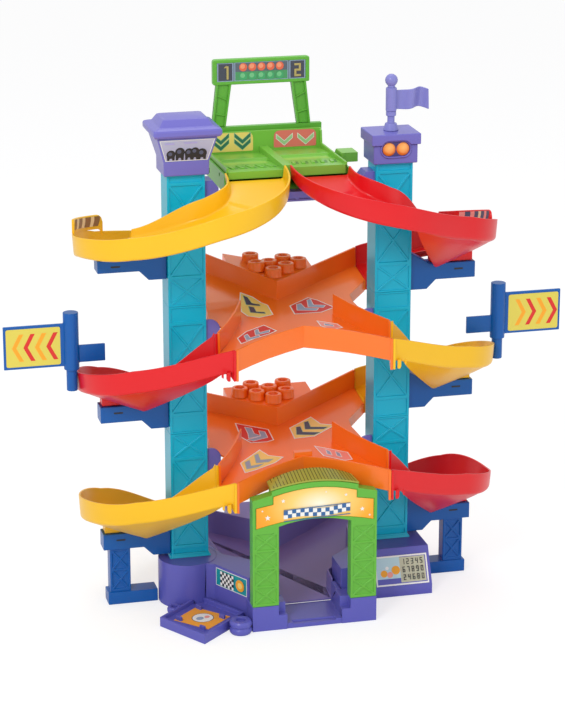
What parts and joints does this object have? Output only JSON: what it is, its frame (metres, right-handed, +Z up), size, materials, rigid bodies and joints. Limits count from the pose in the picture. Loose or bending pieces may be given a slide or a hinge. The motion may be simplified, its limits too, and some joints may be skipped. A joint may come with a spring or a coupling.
{
  "type": "toy parking garage",
  "caption": "Tall toy car tower with two braced columns, banked ramps that wind round them, X-shaped crossings, a tipping start tray and an exit arch.",
  "frame": {"origin": "on the floor, midway between the two towers", "axes": "X to the viewer's right, Y to the back (the exit arch faces -Y), Z up"},
  "size_m": [0.79, 0.3409, 0.731],
  "materials": {
    "teal": "gloss",
    "blue": "gloss",
    "violet": "satin",
    "yellow": "gloss",
    "red": "gloss",
    "orange": "gloss",
    "green": "satin",
    "light_green": "satin",
    "olive": "satin",
    "amber_print": "printed",
    "amber_lens": "gloss",
    "pale_print": "printed"
  },
  "bodies": {
    "frame": {"arch": "green", "arch_banner": "amber_print", "arch_roof": "olive", "arm_lower_left": "blue", "arm_lower_right": "blue", "arm_middle_left": "blue", "arm_middle_right": "blue", "arm_upper_left": "blue", "arm_upper_right": "blue", "base_deck": "violet", "base_left": "violet", "base_right": "violet", "box_roof": "violet", "box_window": "pale_print", "bracket_lower_left": "violet", "bracket_lower_right": "violet", "bracket_upper_left": "violet", "bracket_upper_right": "violet", "crossing_lower": "orange", "crossing_upper": "orange", "exit_frame": "violet", "flag_pole": "violet", "gantry": "green", "gantry_panel": "pale_print", "lamp_cap": "violet", "lamp_cap_roof": "violet", "lamp_lens_left": "amber_lens", "lamp_lens_right": "amber_lens", "launcher_frame": "green", "pit_tray": "violet", "scoreboard_panel": "pale_print", "sign_post_left": "blue", "sign_post_right": "blue", "spectator_box": "violet", "top_beam": "violet", "top_ramp_left": "yellow", "top_ramp_right": "red", "tower_left_lower": "teal", "tower_left_middle": "teal", "tower_left_upper": "teal", "tower_right_lower": "teal", "tower_right_middle": "teal", "tower_right_upper": "teal", "turn_lower_left": "yellow", "turn_lower_right": "red", "turn_middle_left": "red", "turn_middle_right": "yellow", "tyre_stack_left": "violet", "tyre_stack_right": "violet"},
    "start_tray": {"start_tray": "light_green"},
    "release_lever": {"release_lever": "light_green"},
    "flag": {"flag": "violet"},
    "sign_left": {"sign_left": "blue"},
    "sign_right": {"sign_right": "blue"}
  },
  "joints": [
    {"name": "lever_press", "type": "hinge", "parent": "frame", "child": "release_lever", "pos_m": [0, 0.092, 0.5885], "axis": [1, 0, 0], "range_deg": [0, 30]},
    {"name": "tray_tilt", "type": "hinge", "parent": "frame", "child": "start_tray", "pos_m": [0, 0.03, 0.597], "axis": [1, 0, 0], "range_deg": [0, 14]},
    {"name": "flag_turn", "type": "hinge", "parent": "frame", "child": "flag", "pos_m": [0.145, 0, 0.69], "axis": [0, 0, 1], "continuous": true},
    {"name": "sign_turn_left", "type": "hinge", "parent": "frame", "child": "sign_left", "pos_m": [-0.303, -0.007, 0.388], "axis": [0, 0, 1], "range_deg": [-90, 90]},
    {"name": "sign_turn_right", "type": "hinge", "parent": "frame", "child": "sign_right", "pos_m": [0.303, -0.007, 0.388], "axis": [0, 0, 1], "range_deg": [-90, 90]}
  ],
  "couplings": [
    {"joint": "tray_tilt", "follows": "lever_press", "ratio": 0.46667}
  ]
}
